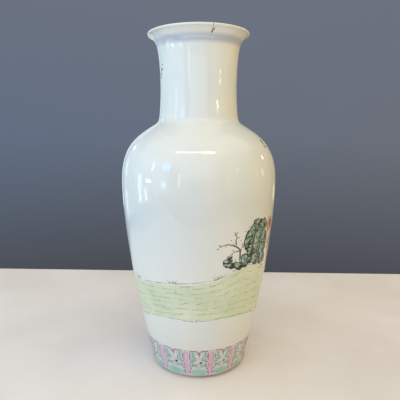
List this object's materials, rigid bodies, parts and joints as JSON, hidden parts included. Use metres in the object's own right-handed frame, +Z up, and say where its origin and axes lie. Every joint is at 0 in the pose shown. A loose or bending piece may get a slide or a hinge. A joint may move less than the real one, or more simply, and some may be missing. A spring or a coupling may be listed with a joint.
{
  "type": "vase",
  "caption": "Tall glazed porcelain baluster vase with an everted lip, straight neck, round shoulder, tapering body and recessed foot.",
  "frame": {"origin": "centre of the circle that the foot ring stands on", "axes": "+Z up along the vase's axis, from foot to mouth; -Y is the side that faces the viewer"},
  "size_m": [0.2092, 0.2092, 0.45],
  "materials": {
    "glaze": "gloss",
    "slip": "satin"
  },
  "bodies": {
    "root": {"foot_and_base": "glaze", "foot_luting_ring": "slip", "lower_body": "glaze", "waist_luting_ring": "slip", "upper_body": "glaze", "neck_luting_ring": "slip", "neck_and_lip": "glaze"}
  },
  "joints": []
}
